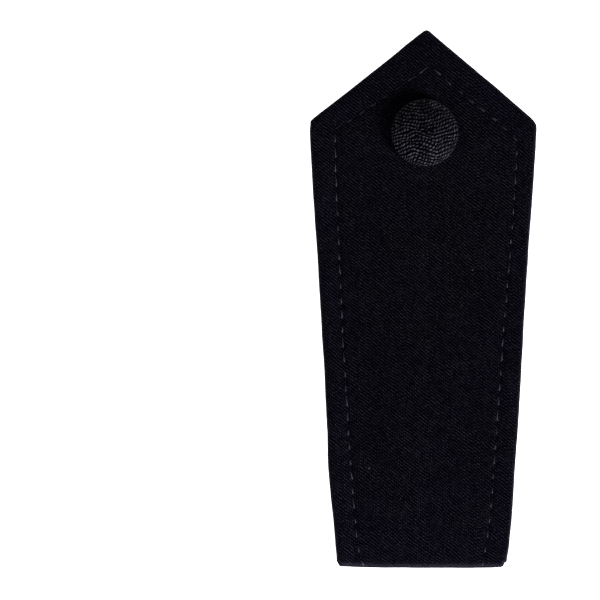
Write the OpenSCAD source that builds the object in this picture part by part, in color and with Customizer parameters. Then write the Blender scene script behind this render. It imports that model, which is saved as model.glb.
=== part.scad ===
// A cloth shoulder board: a strip of twill folded over at its square end, sewn along its sides and
// round its point, with a domed cloth-covered button near the tip. The board lies on its back, its
// face is up, and +Y runs from the square end to the tip.

/* [Board] */
// Length from the square end to the tip
board_l = 130; // [100:1:160]
// Width across the shoulders, where the point begins
board_w = 55; // [48:0.5:70]
// Width of the square end
end_w = 41.8; // [36:0.1:50]
// Height of the point above the shoulders
point_h = 22.5; // [16:0.5:30]
// How far the tip lies to the right of the middle
tip_shift = 0.8; // [0:0.1:2]

/* [Cloth] */
// Thickness of each of the two layers
layer_t = 1.5; // [1:0.1:2.2]
// Slit between the two layers
layer_gap = 0.1; // [0.05:0.05:0.3]
// How much rounder the tip is than the turned-in edge of a layer
tip_soft = 0.3; // [0.1:0.1:2]
// How much rounder each shoulder is than the turned-in edge of a layer
shoulder_soft = 0.6; // [0.1:0.1:3]

/* [Seam] */
// Inset of the seam from each side
seam_side_in = 5; // [4:0.1:8]
// Inset of the seam from the two legs of the point
seam_point_in = 6.4; // [4:0.1:9]
// Width of the channel that the seam presses into the cloth
seam_w = 1.2; // [0.8:0.1:2]
// Depth of that channel
seam_depth = 0.2; // [0.1:0.05:0.35]

/* [Button] */
// Diameter of the covered button
button_d = 16.2; // [14:0.1:20]
// Height of the button, from its underside to its crown
button_h = 5.4; // [4.4:0.1:8]
// Distance from the tip to the middle of the button
button_from_tip = 24.8; // [20:0.1:32]
// How far the button lies to the right of the middle
button_shift = 0.3; // [0:0.1:2]
// Thickness of the button's cloth
button_wall = 1; // [0.6:0.1:1.4]
// Width of the ring of cloth that is turned in under the button
turn_in = 3.2; // [2.4:0.1:4.5]
// Rounding of the rim of the button's mould
mould_rim_r = 0.5; // [0.3:0.1:1]
// Gap between the button and the face of the board
button_gap = 0.3; // [0.1:0.1:0.8]

/* [Post] */
// Diameter of the post
post_d = 2.4; // [1.6:0.1:4]
// Depth of the post's socket in the mould
socket_depth = 2.6; // [1.5:0.1:3]
// Diameter of the post's foot
foot_d = 9; // [6:0.5:12]
// Thickness of the post's foot
foot_t = 0.6; // [0.4:0.1:0.7]
// How far the foot lies above the back of the board
foot_lift = 0.1; // [0.05:0.05:0.2]
// Clearance round the post and its foot in the cloth
cloth_clearance = 0.2; // [0.1:0.05:0.4]
// Clearance between the parts of the button
button_clearance = 0.1; // [0.05:0.05:0.2]

/* [Hidden] */

CLOTH = "#0d0c13";
BUTTON_CLOTH = "#15141b";
MOULD = "#24242a";
METAL = "#8d8a84";

// A round body's fineness, and that of the discs whose hull is a layer of cloth.
$fn = 64;
HULL_FN = 32;
// Straight pieces in each arc of the button's outline and of the seam channel.
ARC_STEPS = 12;
// How far a cut runs past the surface that it opens.
CUT_PAST = 1;

board_t = 2 * layer_t + layer_gap;
edge_r = layer_t / 2;
fold_r = board_t / 2;
tip_r = edge_r + tip_soft;
shoulder_r = edge_r + shoulder_soft;

end_y = -board_l / 2;
tip_y = board_l / 2;
button_at = [button_shift, tip_y - button_from_tip];
button_z = board_t + button_gap;
turned_r = button_d / 2 - turn_in;
foot_seat_r = foot_d / 2 + cloth_clearance;
foot_seat_depth = foot_lift + foot_t + cloth_clearance / 2;

function unit(v) = v / norm(v);
function inward(v) = [-v.y, v.x];
function meet(p, u, q, v) = p + u * cross(q - p, v) / cross(u, v);

// The two legs of the point, from the sharp tip down to the shoulders, and half the angle between
// them. The rounded tip ends at tip_y, so the sharp one lies a little higher.
LEFT_LEG = [-board_w / 2 - tip_shift, -point_h];
RIGHT_LEG = [board_w / 2 - tip_shift, -point_h];
tip_middle = unit(unit(LEFT_LEG) + unit(RIGHT_LEG));
tip_half = acos(unit(LEFT_LEG) * tip_middle);
tip_sharp_y = tip_y - tip_r - tip_middle.y * tip_r / sin(tip_half);
shoulder_y = tip_sharp_y - point_h;

// The outline's sharp corners, counterclockwise from the left one of the square end.
OUTLINE = [
    [-end_w / 2, end_y],
    [end_w / 2, end_y],
    [board_w / 2, shoulder_y],
    [tip_shift, tip_sharp_y],
    [-board_w / 2, shoulder_y],
];
CORNER_R = [edge_r, edge_r, shoulder_r, tip_r, shoulder_r];

function before(i) = (i + len(OUTLINE) - 1) % len(OUTLINE);
function after(i) = (i + 1) % len(OUTLINE);
function edge_dir(i) = unit(OUTLINE[after(i)] - OUTLINE[i]);

// Where the two edges at corner i meet, when the one before it is moved inward by a and the one
// after it by b.
function inset_corner(i, a, b) =
    let (u = edge_dir(before(i)), v = edge_dir(i))
    meet(OUTLINE[i] + inward(u) * a, u, OUTLINE[i] + inward(v) * b, v);

// The middles of the corner discs of a layer. At the square end they stop where the fold begins.
LAYER_CORNERS = [
    inset_corner(0, edge_r, fold_r),
    inset_corner(1, fold_r, edge_r),
    inset_corner(2, shoulder_r, shoulder_r),
    inset_corner(3, tip_r, tip_r),
    inset_corner(4, shoulder_r, shoulder_r),
];
FOLD_ENDS = [inset_corner(0, fold_r, fold_r), inset_corner(1, fold_r, fold_r)];
// The seam, from the square end up the right side, round the point and down the left side.
SEAM = [
    inset_corner(1, -CUT_PAST, seam_side_in),
    inset_corner(2, seam_side_in, seam_point_in),
    inset_corner(3, seam_point_in, seam_point_in),
    inset_corner(4, seam_point_in, seam_side_in),
    inset_corner(0, seam_side_in, -CUT_PAST),
];

// A disc of radius r and thickness t, its edge a full round, standing on z = 0.
module round_edged_disc(r, t) {
    rotate_extrude($fn = HULL_FN)
        intersection() {
            translate([r - t / 2, t / 2]) circle(d = t, $fn = HULL_FN);
            square([r, t]);
        }
}

module layer() {
    hull()
        for (i = [0 : len(OUTLINE) - 1])
            translate(LAYER_CORNERS[i]) round_edged_disc(CORNER_R[i], layer_t);
}

// The hairpin in which the strip turns over at the square end.
module fold() {
    hull()
        for (end = FOLD_ENDS)
            translate(end) round_edged_disc(fold_r, board_t);
}

// How far a run of the channel reaches past a corner of the seam, so that the outer sides of two
// runs meet there.
function seam_run(i) = SEAM[i + 1] - SEAM[i];
function mitre(i) =
    i < 1 || i > len(SEAM) - 2 ? 0
    : seam_w / 2 * tan(acos(unit(seam_run(i - 1)) * unit(seam_run(i))) / 2);

// The round-bottomed channel that the seam presses into a face at z = 0.
module seam_channel() {
    seam_r = (pow(seam_w / 2, 2) + pow(seam_depth, 2)) / (2 * seam_depth);
    half = asin(seam_w / 2 / seam_r);
    section = concat(
        [for (k = [0 : ARC_STEPS])
            let (a = half * (2 * k / ARC_STEPS - 1))
            [seam_r * sin(a), seam_r - seam_depth - seam_r * cos(a)]],
        [[seam_w / 2, CUT_PAST], [-seam_w / 2, CUT_PAST]]
    );
    for (i = [0 : len(SEAM) - 2]) {
        run = seam_run(i);
        translate(SEAM[i])
            rotate(atan2(run.y, run.x))
                translate([-mitre(i), 0, 0])
                    rotate([90, 0, 90])
                        linear_extrude(mitre(i) + norm(run) + mitre(i + 1)) polygon(section);
    }
}

module cover() {
    color(CLOTH)
        difference() {
            union() {
                layer();
                translate([0, 0, layer_t + layer_gap]) layer();
                fold();
            }
            translate([0, 0, board_t]) seam_channel();
            mirror([0, 0, 1]) seam_channel();
            translate([button_at.x, button_at.y, -CUT_PAST])
                cylinder(d = post_d + 2 * cloth_clearance, h = board_t + 2 * CUT_PAST);
            translate([button_at.x, button_at.y, -CUT_PAST])
                cylinder(r = foot_seat_r, h = foot_seat_depth + CUT_PAST);
        }
}

// The button's outline at depth d under its surface, from the crown round the rim to its underside:
// the arc of a dome and the arc of a rim that it runs into smoothly.
function dome_outline(d) =
    let (
        rim_r = button_wall + button_clearance + mould_rim_r,
        rim_x = button_d / 2 - rim_r,
        rise = button_h - rim_r,
        dome_r = (pow(rim_x, 2) + pow(rise, 2) - pow(rim_r, 2)) / (2 * (rise - rim_r)),
        turn = atan2(dome_r - rise, rim_x)
    )
    concat(
        [for (k = [0 : ARC_STEPS])
            let (a = 90 + (turn - 90) * k / ARC_STEPS)
            [(dome_r - d) * cos(a), button_h - dome_r + (dome_r - d) * sin(a)]],
        [for (k = [1 : ARC_STEPS])
            let (a = turn + (-90 - turn) * k / ARC_STEPS)
            [rim_x + (rim_r - d) * cos(a), rim_r + (rim_r - d) * sin(a)]]
    );

function reversed(list) = [for (i = [len(list) - 1 : -1 : 0]) list[i]];

module button_cover() {
    outer = dome_outline(0);
    inner = dome_outline(button_wall);
    color(BUTTON_CLOTH)
        translate([button_at.x, button_at.y, button_z])
            rotate_extrude()
                polygon(concat(outer, [[turned_r, 0], [turned_r, button_wall]], reversed(inner)));
}

module button_mould() {
    depth = button_wall + button_clearance;
    back_r = turned_r - button_clearance;
    color(MOULD)
        translate([button_at.x, button_at.y, button_z])
            difference() {
                rotate_extrude()
                    polygon(concat(dome_outline(depth), [[back_r, depth], [back_r, 0], [0, 0]]));
                translate([0, 0, -CUT_PAST])
                    cylinder(d = post_d + 2 * button_clearance, h = socket_depth + CUT_PAST);
            }
}

module button_post() {
    post_top = button_z + socket_depth - button_clearance;
    color(METAL)
        translate([button_at.x, button_at.y, foot_lift]) {
            cylinder(d = foot_d, h = foot_t);
            cylinder(d = post_d, h = post_top - foot_lift);
        }
}

cover();
button_cover();
button_mould();
button_post();
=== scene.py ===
"""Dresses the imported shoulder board: the folded twill cover, its stitches and the button's cloth are
meshes of their own, and the button's mould and post keep their solids and get a finish.

Lengths are in millimetres until a mesh is made, and +Y runs from the square end to the tip.
"""

import math

import bpy
import numpy as np
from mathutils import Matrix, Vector
from mathutils.geometry import delaunay_2d_cdt


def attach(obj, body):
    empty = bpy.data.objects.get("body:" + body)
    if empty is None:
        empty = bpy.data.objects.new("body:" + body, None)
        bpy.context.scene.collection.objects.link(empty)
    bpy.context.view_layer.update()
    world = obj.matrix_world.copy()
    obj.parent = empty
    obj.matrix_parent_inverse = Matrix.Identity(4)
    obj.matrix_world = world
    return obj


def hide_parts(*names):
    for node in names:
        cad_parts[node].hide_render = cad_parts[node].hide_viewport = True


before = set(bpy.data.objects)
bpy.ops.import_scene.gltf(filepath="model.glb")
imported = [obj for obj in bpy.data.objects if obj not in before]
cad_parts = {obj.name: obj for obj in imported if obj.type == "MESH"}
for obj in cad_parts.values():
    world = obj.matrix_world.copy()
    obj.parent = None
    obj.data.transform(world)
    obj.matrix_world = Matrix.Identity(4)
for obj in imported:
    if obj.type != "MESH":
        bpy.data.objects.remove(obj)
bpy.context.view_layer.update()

MM = 0.001

# The camera: the point under it, how wide a pixel is on the board and at what height, its lens
# and its turn about the vertical.
IMAGE_CENTRE = (-29.71, -0.254)
PHOTO_MM_PER_PX, SCALE_PLANE = 0.2423, 1.7
IMAGE_PX = 600
CAMERA_LENS, CAMERA_SENSOR = 180.0, 36.0
CAMERA_ROLL = math.radians(0.136)

# The board, as in the part's source.
BOARD_L, BOARD_W, END_W, POINT_H, TIP_SHIFT = 130.0, 55.0, 41.8, 22.5, 0.8
LAYER_T, SLIT = 1.5, 0.1
BOARD_T = 2 * LAYER_T + SLIT
EDGE_R, FOLD_R, TIP_R, SHOULDER_R = LAYER_T / 2, BOARD_T / 2, 1.05, 1.35
BUTTON_AT = np.array([0.3, 40.2])
BUTTON_Z, BUTTON_H, BUTTON_WALL, TURNED_R = 3.4, 5.4, 1.0, 4.9
RIM_R, RIM_X = 1.6, 6.5
POST_HOLE_R, SEAT_R, SEAT_DEPTH = 1.4, 4.7, 0.8

# The seam as it was sewn: up the right side, round the point and down the left side.
SEAM_RUNS = [
    [(14.4, -64.8), (15.91, -57.19), (16.78, -46.78), (17.58, -35.99),
     (18.33, -24.73), (19.12, -14.07), (19.83, -3.65), (21.0, 10.89), (21.99, 25.19),
     (22.71, 35.95), (22.78, 38.27)],
    [(22.78, 38.27), (19.62, 41.42), (16.71, 43.84), (8.46, 50.39), (1.66, 56.44)],
    [(1.66, 56.44), (-7.4, 50.2), (-16.49, 44.09), (-19.63, 41.91), (-21.57, 41.2)],
    [(-21.57, 41.2), (-21.39, 39.48), (-20.97, 24.94), (-20.46, 13.9), (-19.9, 2.41),
     (-19.21, -12.61), (-18.43, -24.0), (-17.52, -39.26), (-16.65, -49.93), (-15.54, -60.47),
     (-14.53, -63.98), (-14.25, -64.8)],
]
LEG_RUNS = (1, 2)
STITCH_PITCH = 3.6

# How far the cloth stands out of its straight outline: on the long sides at these y, and as
# (x, outward) on the square end and on the two legs of the point.
SIDE_Y = [-63.5, -61, -57.5, -54, -50, -45, -40, -35, -29, -23, -17, -11, -5, 1, 7, 13, 19, 25, 31,
          36, 41]
LEFT_BOW = [-0.25, -0.25, -0.19, -0.01, 0.09, 0.3, 0.48, 0.22, 0.13, 0.04, 0, 0.03, 0.04, 0.03,
            0.02, 0.07, 0.15, 0.16, 0.19, 0.21, 0.07]
RIGHT_BOW = [-0.22, -0.19, -0.14, 0.07, 0.17, 0.11, 0.02, 0.2, 0.18, 0.19, 0.13, 0.08, -0.02, 0.01,
             0.04, -0.08, 0.13, 0.12, 0.16, 0.24, 0.09]
END_BOW = [(-20.5, -0.2), (-18, -0.17), (-15, 0.03), (-4, 0.13), (8, 0.10), (17, 0.10), (19, 0.05),
           (20.5, -0.5)]
LEG_BOW = [(-27, 0.17), (-23, 0.18), (-18.5, 0.15), (-14, 0.05), (-10, 0.11), (-6, 0.14), (-1, 0.22),
           (3, 0.16), (7, 0.12), (11, 0.12), (15, 0.2), (20, 0.18), (23, 0.14), (27, 0.0)]
# Four corners are cut back past their round: the corner, the column of it where the cut is
# deepest, its depth and its width in columns.
CORNER_CUTS = [(0, 1.8, 0.25, 1.7), (1, 3.4, 0.56, 2.1), (2, 3.6, 0.25, 3.6), (4, 5.0, 0.24, 2.8)]
# The bow is smoothed over this many columns either way, with this width, and small waves are
# added to it: the height, size and seed of each.
SMOOTH_REACH, SMOOTH_WIDE = 12, 6
EDGE_WAVES = [(0.008, 1.1, 5), (0.022, 4, 6)]
# A column whose way outward has this much of x or more is on a long side.
SIDEWAYS = 0.9
# Up to the first inset the cloth follows the bow wholly, and from the second on not at all.
LOOSE_INSETS = (0.5, 4.5)


def step(lo, hi, x):
    """A smooth rise from 0 at lo to 1 at hi."""
    t = np.clip((np.asarray(x, float) - lo) / (hi - lo), 0, 1)
    return t * t * (3 - 2 * t)


def hump(x, width):
    """A smooth hill, 1 high at x = 0."""
    return np.exp(-(x / width) ** 2)


RIPPLE_WAVES, RIPPLE_LENGTHS = 14, (0.75, 1.7)


def ripple(x, y, size, seed):
    """A smooth random field of about unit spread, whose bumps are about size across."""
    rng = np.random.default_rng(seed)
    turn = rng.uniform(0, 2 * math.pi, RIPPLE_WAVES)
    length = 2 * size * rng.uniform(*RIPPLE_LENGTHS, RIPPLE_WAVES)
    phase = rng.uniform(0, 2 * math.pi, RIPPLE_WAVES)
    total = np.zeros(np.broadcast(x, y).shape)
    for a, s, p in zip(turn, length, phase):
        total += np.sin(2 * math.pi * (x * math.cos(a) + y * math.sin(a)) / s + p)
    return total / math.sqrt(RIPPLE_WAVES / 2)


# The outline of the board.

def unit(v):
    return v / np.linalg.norm(v)


def sharp_outline():
    """The outline's sharp corners, counterclockwise from the left one of the square end."""
    left = unit(np.array([-BOARD_W / 2 - TIP_SHIFT, -POINT_H]))
    right = unit(np.array([BOARD_W / 2 - TIP_SHIFT, -POINT_H]))
    middle = unit(left + right)
    half = math.acos(left @ middle)
    tip_y = BOARD_L / 2 - TIP_R - middle[1] * TIP_R / math.sin(half)
    return np.array([
        [-END_W / 2, -BOARD_L / 2], [END_W / 2, -BOARD_L / 2], [BOARD_W / 2, tip_y - POINT_H],
        [TIP_SHIFT, tip_y], [-BOARD_W / 2, tip_y - POINT_H]])


CORNERS = sharp_outline()
CORNER_R = np.array([FOLD_R, FOLD_R, SHOULDER_R, TIP_R, SHOULDER_R])
ALONG = np.array([unit(CORNERS[(i + 1) % 5] - CORNERS[i]) for i in range(5)])
OUTWARD = np.stack([ALONG[:, 1], -ALONG[:, 0]], 1)
COLUMN_STEP = 0.38
CORNER_COLUMNS = 7
# The radius that is left of a corner when it is moved inward by its own radius.
ROUND_LEFT = 0.3


def columns():
    """The columns of the edge's mesh, one after another round the board.

    Gives each one's two corners, its share of the way between them and its way outward, and the
    first column of each corner.
    """
    rows, corner_at = [], []
    for i in range(5):
        after = (i + 1) % 5
        a, b = (math.atan2(*OUTWARD[j][::-1]) for j in (i - 1, i))
        turn = (b - a) % (2 * math.pi)
        corner_at.append(len(rows))
        for k in range(CORNER_COLUMNS):
            angle = a + turn * k / (CORNER_COLUMNS - 1)
            rows.append((i, i, 0.0, (math.cos(angle), math.sin(angle))))
        n = int(np.linalg.norm(CORNERS[after] - CORNERS[i]) / COLUMN_STEP)
        rows += [(i, after, k / n, tuple(OUTWARD[i])) for k in range(1, n)]
    return *(np.array(column) for column in zip(*rows)), corner_at


FIRST, SECOND, SHARE, OUT, CORNER_AT = columns()
N = len(SHARE)
COLUMN = np.arange(N)
# The square end takes columns 0 to this one.
END_LAST = CORNER_AT[1] + CORNER_COLUMNS - 1
AT_END = COLUMN <= END_LAST


def contour(inset):
    """The outline moved inward by inset, one number or one for each column, its corners rounded."""
    inset = np.broadcast_to(np.asarray(inset, float), (N,))
    ends = []
    for corner in (FIRST, SECOND):
        r = np.sqrt((CORNER_R[corner] - inset) ** 2 + ROUND_LEFT ** 2)
        before, after = OUTWARD[corner - 1], OUTWARD[corner]
        mitre = -(before + after) / (1 + (before * after).sum(1))[:, None]
        ends.append(CORNERS[corner] + (inset + r)[:, None] * mitre + r[:, None] * OUT)
    return ends[0] + (ends[1] - ends[0]) * SHARE[:, None]


def bow():
    """How far each column of the silhouette stands out of the straight outline."""
    at = contour(0)
    y, out = at[:, 1], np.zeros(N)
    sides = ~AT_END & (np.abs(OUT[:, 0]) > SIDEWAYS)
    for sign, table in ((-1, LEFT_BOW), (1, RIGHT_BOW)):
        on = sides & (np.sign(at[:, 0]) == sign)
        out[on] = np.interp(y[on], SIDE_Y, table)
    out[AT_END] = np.interp(at[AT_END, 0], *np.array(END_BOW).T)
    legs = ~sides & ~AT_END
    out[legs] = np.interp(at[legs, 0], *np.array(LEG_BOW).T)
    smooth = hump(np.arange(-SMOOTH_REACH, SMOOTH_REACH + 1), SMOOTH_WIDE)
    round_again = np.r_[out[-SMOOTH_REACH:], out, out[:SMOOTH_REACH]]
    out = np.convolve(round_again, smooth / smooth.sum(), "valid")
    for corner, column, depth, wide in CORNER_CUTS:
        away = (COLUMN - CORNER_AT[corner] - column + N / 2) % N - N / 2
        out -= depth * hump(away, wide)
    run = np.r_[0, np.cumsum(np.linalg.norm(np.diff(at, axis=0), axis=1))]
    for height, size, seed in EDGE_WAVES:
        out += height * ripple(run, run * 0, size, seed)
    return out


BOW = bow()


def loose(inset):
    """How far each column of a contour at this inset is moved with the silhouette."""
    return ((1 - step(*LOOSE_INSETS, inset)) * BOW)[:, None] * OUT


def inset_of(x, y):
    """How far a point lies inside the outline's nearest side."""
    return np.min([(CORNERS[i, 0] - x) * OUTWARD[i, 0] + (CORNERS[i, 1] - y) * OUTWARD[i, 1]
                   for i in range(5)], axis=0)


# The seam and the relief of the cloth.

# What the seam presses into the cloth, each with its depth and its width: the thread's groove, a
# shallow dip along it, the pucker between two needle holes, and the holes.
GROOVE, GROOVE_WIDE = 0.13, 0.5
DIP, DIP_WIDE = 0.045, 1.6
PUCKER, PUCKER_WIDE = 0.05, 1.3
NEEDLE_HOLE, NEEDLE_HOLE_WIDE = 0.16, 0.42
# The soft shape of the top face. Its waves are given by height, size and seed, and they calm down
# between two distances from the button.
TOP_WAVES = [(0.055, 11, 1), (0.022, 4.2, 2), (0.010, 1.7, 3)]
CALM_R = (7.5, 13)
# The border swells: how much, from which inset and over what width. The rest of the relief grows
# to its full height between two insets.
PUFF, PUFF_FROM, PUFF_WIDE = 0.05, 0.6, 4.8
FULL_RELIEF_INSETS = (0.4, 2.6)
# The button presses a ring down, and the face falls towards the square end and the other edges.
PRESS, PRESS_R, PRESS_WIDE = 0.10, 6.5, 3.0
END_DROP, END_DROP_WIDE = 0.34, 6.5
EDGE_DROP, EDGE_DROP_WIDE = 0.2, 1.7
# The under face lifts off the surface by about this height, wholly from the second inset on.
UNDER_LIFT, UNDER_SIZE, UNDER_SEED = 0.030, 12, 11
UNDER_INSETS = (0.5, 3)


def spaced(run, pitch):
    """Points along a polyline, a whole number of equal steps of about pitch apart."""
    p = np.array(run, float)
    at = np.r_[0, np.cumsum(np.linalg.norm(np.diff(p, axis=0), axis=1))]
    n = max(1, round(at[-1] / pitch))
    want = np.linspace(0, at[-1], n + 1)
    return np.stack([np.interp(want, at, p[:, 0]), np.interp(want, at, p[:, 1])], 1)


HOLES = [spaced(run, STITCH_PITCH) for run in SEAM_RUNS]
SEAM_LINES = np.concatenate([np.concatenate([h[:-1], h[1:]], 1) for h in HOLES])


def near_seam(x, y):
    """For each point the distance to the seam, and where on a stitch its nearest point lies.

    The third result is 1 inside the seam and -1 in the border outside it.
    """
    best, part, way = np.full(np.shape(x), np.inf), np.zeros(np.shape(x)), np.ones(np.shape(x))
    for ax, ay, bx, by in SEAM_LINES:
        dx, dy = bx - ax, by - ay
        t = np.clip(((x - ax) * dx + (y - ay) * dy) / (dx * dx + dy * dy), 0, 1)
        d = np.hypot(x - ax - t * dx, y - ay - t * dy)
        closer = d < best
        best, part = np.where(closer, d, best), np.where(closer, t, part)
        way = np.where(closer, np.where(dx * (y - ay) > dy * (x - ax), 1.0, -1.0), way)
    return best, part, way


def signed_seam(x, y):
    """Distance to the seam, negative in the border outside it."""
    off, _, way = near_seam(x, y)
    return off * way


def seam_relief(x, y):
    """How far the seam lifts a face, negative where it pulls the cloth down."""
    off, part, _ = near_seam(x, y)
    from_hole = np.hypot(off, np.minimum(part, 1 - part) * STITCH_PITCH)
    pucker = np.cos(2 * math.pi * part) * hump(off, PUCKER_WIDE)
    return (-GROOVE * hump(off, GROOVE_WIDE) - DIP * hump(off, DIP_WIDE) - PUCKER * pucker
            - NEEDLE_HOLE * hump(from_hole, NEEDLE_HOLE_WIDE))


def top_relief(x, y):
    """How far the top face stands above the flat face of its layer."""
    inset = inset_of(x, y)
    from_button = np.hypot(x - BUTTON_AT[0], y - BUTTON_AT[1])
    soft = sum(height * ripple(x, y, size, seed) for height, size, seed in TOP_WAVES)
    puff = PUFF * np.sin(math.pi * np.clip((inset - PUFF_FROM) / PUFF_WIDE, 0, 1)) ** 2
    rise = (soft * step(*CALM_R, from_button) + puff) * step(*FULL_RELIEF_INSETS, inset)
    press = PRESS * hump(from_button - PRESS_R, PRESS_WIDE)
    end_drop = END_DROP * hump(y + BOARD_L / 2, END_DROP_WIDE)
    edge_drop = EDGE_DROP * np.clip(1 - inset / EDGE_DROP_WIDE, 0, 1) ** 2
    return seam_relief(x, y) + rise - press - end_drop - edge_drop


def under_relief(x, y):
    """How far the under face stands above the surface that the board lies on."""
    soft = UNDER_LIFT * (1 + ripple(x, y, UNDER_SIZE, UNDER_SEED))
    return np.maximum(0, soft * step(*UNDER_INSETS, inset_of(x, y)) - seam_relief(x, y))


# Meshes.

# Triangulation: how near two points are one, and the least area that a triangle keeps.
MERGE, LEAST_AREA = 1e-6, 1e-7


def placed(name, data):
    """A new object of the scene."""
    thing = bpy.data.objects.new(name, data)
    bpy.context.scene.collection.objects.link(thing)
    return thing


class MeshMaker:
    """Gathers points, their values, and faces with a place in the unit square for each corner."""

    def __init__(self):
        self.points, self.values, self.count, self.faces = [], [], 0, {3: [], 4: []}

    def add(self, xyz, **values):
        """Adds points of any grid shape, and gives their numbers in that shape."""
        xyz = np.asarray(xyz, float)
        shape = xyz.shape[:-1]
        ids = self.count + np.arange(int(np.prod(shape))).reshape(shape)
        self.points.append(xyz.reshape(-1, 3))
        flat = {}
        for key, value in values.items():
            size = np.shape(value)[len(shape):]
            flat[key] = np.broadcast_to(value, shape + size).reshape((-1,) + size)
        self.values.append(flat)
        self.count += ids.size
        return ids

    def grid(self, ids, uv, wrap=False, flip=False):
        """Quads between the rows and columns of ids."""
        if wrap:
            ids, uv = (np.concatenate([a, a[:, :1]], 1) for a in (ids, uv))
        quad, quv = (np.stack([a[:-1, :-1], a[:-1, 1:], a[1:, 1:], a[1:, :-1]], 2) for a in (ids, uv))
        if flip:
            quad, quv = quad[:, :, ::-1], quv[:, :, ::-1]
        self.faces[4].append((quad.reshape(-1, 4), quv.reshape(-1, 4, 2)))

    def triangles(self, tri, uv, flip=False):
        """Triangles, each given by three numbers of points."""
        if flip:
            tri, uv = tri[:, ::-1], uv[:, ::-1]
        self.faces[3].append((tri, uv))

    def make(self, name, material):
        """Turns what was gathered into an object of the scene."""
        mesh = bpy.data.meshes.new(name)
        points = np.concatenate(self.points) * MM
        faces = self.faces[3] + self.faces[4]
        loops = np.concatenate([ids.ravel() for ids, _ in faces])
        uvs = np.concatenate([uv.reshape(-1, 2) for _, uv in faces])
        sizes = np.concatenate([np.full(len(ids), ids.shape[1]) for ids, _ in faces])
        starts = np.cumsum(sizes) - sizes
        mesh.vertices.add(len(points))
        mesh.vertices.foreach_set("co", points.astype(np.float32).ravel())
        mesh.loops.add(len(loops))
        mesh.loops.foreach_set("vertex_index", loops.astype(np.int32))
        mesh.polygons.add(len(starts))
        mesh.polygons.foreach_set("loop_start", starts.astype(np.int32))
        mesh.update(calc_edges=True)
        mesh.validate()
        mesh.shade_smooth()
        layer = mesh.uv_layers.new(name="OFBake")
        layer.uv.foreach_set("vector", uvs.astype(np.float32).ravel())
        for key in self.values[0]:
            data = np.concatenate([v[key] for v in self.values]).astype(np.float32)
            kind, prop = ("FLOAT", "value") if data.ndim == 1 else ("FLOAT_VECTOR", "vector")
            mesh.attributes.new(key, kind, "POINT").data.foreach_set(prop, data.ravel())
        mesh.materials.append(material)
        return placed(name, mesh)


def lattice(box_lo, box_hi, spacing):
    """The points of a triangular lattice in a box."""
    rows = np.arange(box_lo[1], box_hi[1], spacing * math.sqrt(3) / 2)
    cols = np.arange(box_lo[0], box_hi[0], spacing)
    return np.concatenate([np.stack([cols + (k % 2) * spacing / 2, np.full(len(cols), y)], 1)
                           for k, y in enumerate(rows)])


def filled(ring, hole, spacing, clear):
    """Extra points inside ring and outside the round hole, and the triangles that join all three."""
    inner = lattice(ring.min(0), ring.max(0), spacing)
    ahead = np.roll(ring, -1, 0) - ring
    side = np.stack([-ahead[:, 1], ahead[:, 0]], 1) / np.linalg.norm(ahead, axis=1)[:, None]
    depth = np.full(len(inner), np.inf)
    for point, way in zip(ring, side):
        depth = np.minimum(depth, (inner - point) @ way)
    middle = hole.mean(0)
    hole_r = np.linalg.norm(hole[0] - middle)
    inner = inner[(depth > clear) & (np.linalg.norm(inner - middle, axis=1) > hole_r + clear)]
    points = np.concatenate([ring, hole, inner])
    n, m = len(ring), len(hole)
    edges = [(i, (i + 1) % n) for i in range(n)] + [(n + i, n + (i + 1) % m) for i in range(m)]
    _, _, faces, origin, _, _ = delaunay_2d_cdt([Vector(p) for p in points], edges, [], 0, MERGE)
    back = [o[0] for o in origin]
    tri = np.array([[back[k] for k in f] for f in faces if len(f) == 3])
    centre = points[tri].mean(1)
    tri = tri[np.linalg.norm(centre - middle, axis=1) > hole_r * math.cos(math.pi / m)]
    a, b, c = (points[tri[:, k]] for k in range(3))
    area = (b - a)[:, 0] * (c - a)[:, 1] - (b - a)[:, 1] * (c - a)[:, 0]
    tri[area < 0] = tri[area < 0][:, ::-1]
    return inner, tri[np.abs(area) > LEAST_AREA]


# The cover.

INNER_INSET = 9.0
EDGE_INSET = FOLD_R
FLAT_INSETS = np.r_[INNER_INSET, 8.5, np.arange(8.0, 3.55, -0.22), 3.2, 2.8, 2.4, 2.1, 1.8, EDGE_INSET]
EDGE_ROWS = 14
# Above the square end the fold turns into two lips between these heights along the side.
LIPS_BETWEEN = (0.6, 5.5)
# An edge has none of its face's relief at the slit, and all of it at this height above the middle.
FULL_RELIEF_HEIGHT = 1.25
# The slit's rows, as shares of the way in, and its end inside the fold, which it reaches this far
# from the corner.
SLIT_SHARES = (0.05, 0.12, 0.3, 0.6, 1.0)
SLIT_END_INSET, SLIT_END_RUN = 3.2, 4
LIP_RUN, FOLD_RUN = EDGE_INSET - EDGE_R + math.pi * EDGE_R, math.pi / 2 * FOLD_R
# The under face goes on where the top one ends, half-way round the fold.
UNROLLED = 2 * (-BOARD_L / 2 + EDGE_INSET - FOLD_RUN)
# Points round the post's hole, and the spacing of the extra points in the top face, the under
# face and the slit's faces. They keep this share of the spacing away from both rims.
HOLE_STEPS = 48
TOP_SPACING, UNDER_SPACING, SLIT_SPACING = 0.75, 1.1, 3.0
CLEAR_SHARE = 0.45
# The value of seam for a point that no seam touches.
OFF_SEAM = 9.0

# The unit square holds the top face on the left, the under one beside it and the slit's two faces
# as narrow strips. It is CHART_MM of cloth wide, and a face's left and lower ends are moved to 0.
CHART_MM, CHART_LEFT, CHART_LOW, CHART_MARGIN = 137, 29.6, 66.6, 0.004
TOP_U, UNDER_U, SLIT_TOP_U, SLIT_UNDER_U = 0.002, 0.436, 0.876, 0.936
SLIT_HALF_WIDE, SLIT_STRIP = 28, 0.052
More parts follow.
